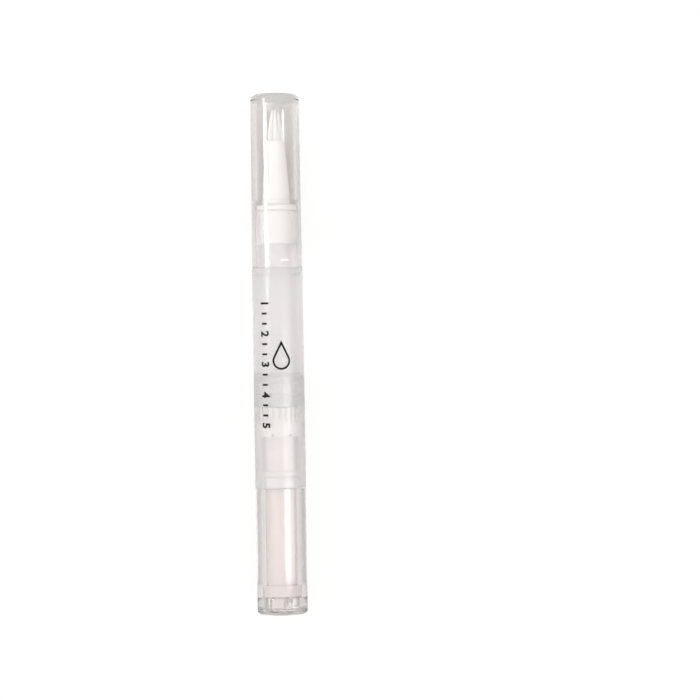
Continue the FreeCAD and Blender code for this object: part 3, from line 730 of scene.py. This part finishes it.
drop = bmesh.new()
rim = bmesh.ops.create_circle(drop, cap_ends=True, segments=DROP_STEPS, radius=DROP_RADIUS)["verts"]
for corner in rim:
    if corner.co.y > DROP_RADIUS * DROP_RADIUS / DROP_TIP:
        corner.co = (0, DROP_TIP, 0)
bmesh.ops.remove_doubles(drop, verts=rim, dist=INK_WELD_GAP)
drop_across = math.radians(DROP_TURN) * BARREL_RADIUS
bmesh.ops.translate(drop, verts=drop.verts[:], vec=(drop_across, DROP_STATION, 0))
line = bmesh.ops.inset_region(
    drop, faces=drop.faces[:], thickness=DROP_LINE, use_boundary=True, use_even_offset=True,
)["faces"]
bmesh.ops.delete(drop, geom=[face for face in drop.faces if face not in line], context="FACES")
printed("drop_mark", drop)

# Floor: plain pale grey paper, a hair below the pen, that keeps the pen's soft shadow.
# To the eye it shows white; through the clear plastic it shows nearly its own grey, which tones the walls.
FLOOR_DROP = 0.02
FLOOR_HALF = 4.0
FLOOR_GLOW = 1.05
FLOOR_WHITE = 0.88
FLOOR_WHITE_THROUGH = 0.1
PAPER_FIBRE = 2.0
paper = finish("pale grey paper")
spot = node(paper, "TexCoord", {}).outputs["Object"]
fibre = node(paper, "TexNoise", {"Vector": spot, "Scale": 1000 / PAPER_FIBRE, "Detail": 2.0})
sheet_tone = node(paper, "Mix", {
    "Factor": fibre.outputs["Fac"], 6: tone("#d1cecb"), 7: tone("#cdcac7"),
}, data_type="RGBA")
matt = node(paper, "BsdfDiffuse", {"Color": sheet_tone.outputs[2]})
glow = node(paper, "Emission", {"Color": tone("#ffffff"), "Strength": FLOOR_GLOW})
ray = node(paper, "LightPath", {})
seen = node(paper, "Math", {
    0: ray.outputs["Is Camera Ray"], 1: ray.outputs["Is Glossy Ray"],
}, operation="MAXIMUM")
white_share = node(paper, "MapRange", {
    "Value": ray.outputs["Is Transmission Ray"], "To Min": FLOOR_WHITE, "To Max": FLOOR_WHITE_THROUGH,
})
glow_share = node(paper, "Math", {0: seen.outputs[0], 1: white_share.outputs["Result"]}, operation="MULTIPLY")
mixed = node(paper, "MixShader", {0: glow_share.outputs[0], 1: matt.outputs[0], 2: glow.outputs[0]})
node(paper, "OutputMaterial", {"Surface": mixed.outputs[0]})
shape = bmesh.new()
bmesh.ops.create_grid(
    shape, x_segments=1, y_segments=1, size=FLOOR_HALF, matrix=Matrix.Translation((0, 0, -FLOOR_DROP * MM)),
)
mesh = bpy.data.meshes.new("floor")
shape.to_mesh(mesh)
shape.free()
mesh.materials.append(paper)
floor = bpy.data.objects.new("floor", mesh)
scene.collection.objects.link(floor)

# Room light: white to the eye, brightest overhead and along the pen, dimmer from the sides,
# and a little stronger from the left than from the right.
DOME_LIGHT = (0.63, 1.39)
SIDE_LIGHT = (1.06, 0.86)
room = bpy.data.worlds.new("studio")
room.use_nodes = True
room.node_tree.nodes.clear()
ray = node(room, "LightPath", {})
way = node(room, "TexCoord", {}).outputs["Generated"]
compass = node(room, "SeparateXYZ", {"Vector": way})
ends = node(room, "Math", {0: compass.outputs["Y"]}, operation="ABSOLUTE")
high = node(room, "Math", {0: compass.outputs["Z"], 1: ends.outputs[0]}, operation="MAXIMUM")
dome = node(room, "MapRange", {
    "Value": high.outputs[0], "To Min": DOME_LIGHT[0], "To Max": DOME_LIGHT[1],
})
side = node(room, "MapRange", {
    "Value": compass.outputs["X"], "From Min": -1.0, "To Min": SIDE_LIGHT[0], "To Max": SIDE_LIGHT[1],
})
shaded = node(room, "Math", {0: dome.outputs["Result"], 1: side.outputs["Result"]}, operation="MULTIPLY")
strength = node(room, "Math", {0: shaded.outputs[0], 1: ray.outputs["Is Camera Ray"]}, operation="MAXIMUM")
sky = node(room, "Background", {"Color": tone("#fbfaf9"), "Strength": strength.outputs[0]})
node(room, "OutputWorld", {"Surface": sky.outputs[0]})
scene.world = room

# Lamps: a small one past the cap's end, to the left, and a broad soft one past the knob's end, to the right.
# Each leans from upright by so many degrees; its distance, place along the pen and size are in metres.
for name, lean, distance, along, width, length, power in (
    ("strip lamp", -50.0, 0.7, 0.115, 0.13, 0.14, 0.6),
    ("soft lamp", 42.0, 0.9, -0.0775, 0.7, 0.155, 1.05),
):
    lamp = bpy.data.lights.new(name, "AREA")
    lamp.shape = "RECTANGLE"
    lamp.size = width
    lamp.size_y = length
    lamp.energy = power
    holder = bpy.data.objects.new(name, lamp)
    angle = math.radians(lean)
    away = Vector((math.sin(angle) * distance, along, math.cos(angle) * distance))
    holder.location = at(0, MIDDLE_STATION) + away
    holder.rotation_euler = (0, angle, 0)
    holder.visible_camera = False
    scene.collection.objects.link(holder)

# Camera: straight above the pen, a little to its right, with the pen's whole length in view.
# Light gets enough bounces for the many walls of clear plastic, oil and frosted plastic in its way.
CAMERA_DISTANCE = 570.0
CAMERA_ACROSS = 18.41
CAMERA_ALONG = 0.7
CAMERA_ROLL = -0.93
FRAME_WIDTH = 180.4
WALL_BOUNCES = 24
CLEAR_BOUNCES = 32
lens = bpy.data.cameras.new("camera")
lens.sensor_width = 36.0
lens.lens = lens.sensor_width * CAMERA_DISTANCE / FRAME_WIDTH
camera = bpy.data.objects.new("camera", lens)
camera.location = Vector((CAMERA_ACROSS, CAMERA_ALONG, AXIS_HEIGHT + CAMERA_DISTANCE)) * MM
camera.rotation_euler = (0, 0, math.radians(CAMERA_ROLL))
scene.collection.objects.link(camera)
scene.camera = camera

scene.view_settings.view_transform = "Standard"
scene.cycles.max_bounces = WALL_BOUNCES
scene.cycles.glossy_bounces = WALL_BOUNCES
scene.cycles.transmission_bounces = WALL_BOUNCES
scene.cycles.transparent_max_bounces = CLEAR_BOUNCES
